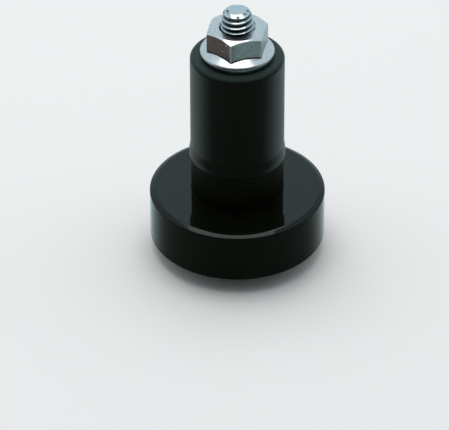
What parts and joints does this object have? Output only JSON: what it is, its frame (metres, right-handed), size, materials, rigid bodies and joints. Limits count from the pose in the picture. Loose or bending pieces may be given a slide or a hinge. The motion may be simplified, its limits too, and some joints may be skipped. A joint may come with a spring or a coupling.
{
  "type": "bar end weight",
  "caption": "Turned round weight with a spigot, a rubber sleeve behind it and a countersunk screw whose flange nut squeezes the sleeve to grip inside a handlebar.",
  "frame": {"origin": "on the screw's axis, at the crest of the face that the weight stands on", "axes": "+Z along the screw, from the face to the nut; +X to the right and -Y towards the viewer of the picture"},
  "size_m": [0.032, 0.032, 0.0507],
  "materials": {
    "black_gloss": "gloss black coating on turned steel",
    "black_rubber": "moulded, satin to matt",
    "zinc_plate": "bright blue-white zinc plating"
  },
  "bodies": {
    "weight": {"weight_body": "black_gloss", "rubber_sleeve": "black_rubber"},
    "screw": {"socket_screw": "zinc_plate"},
    "nut": {"flange_nut": "zinc_plate"}
  },
  "joints": [
    {"name": "screw_turn", "type": "hinge", "parent": "weight", "child": "screw", "pos_m": [0, 0, 0.00065], "axis": [0, 0, 1], "range_deg": [0, 1080]},
    {"name": "nut_travel", "type": "slide", "parent": "weight", "child": "nut", "axis": [0, 0, -1], "range_m": [0, 0.003], "deforming": ["rubber_sleeve"]}
  ],
  "couplings": [
    {"joint": "nut_travel", "follows": "screw_turn", "m_per_rad": 0.00015915}
  ]
}
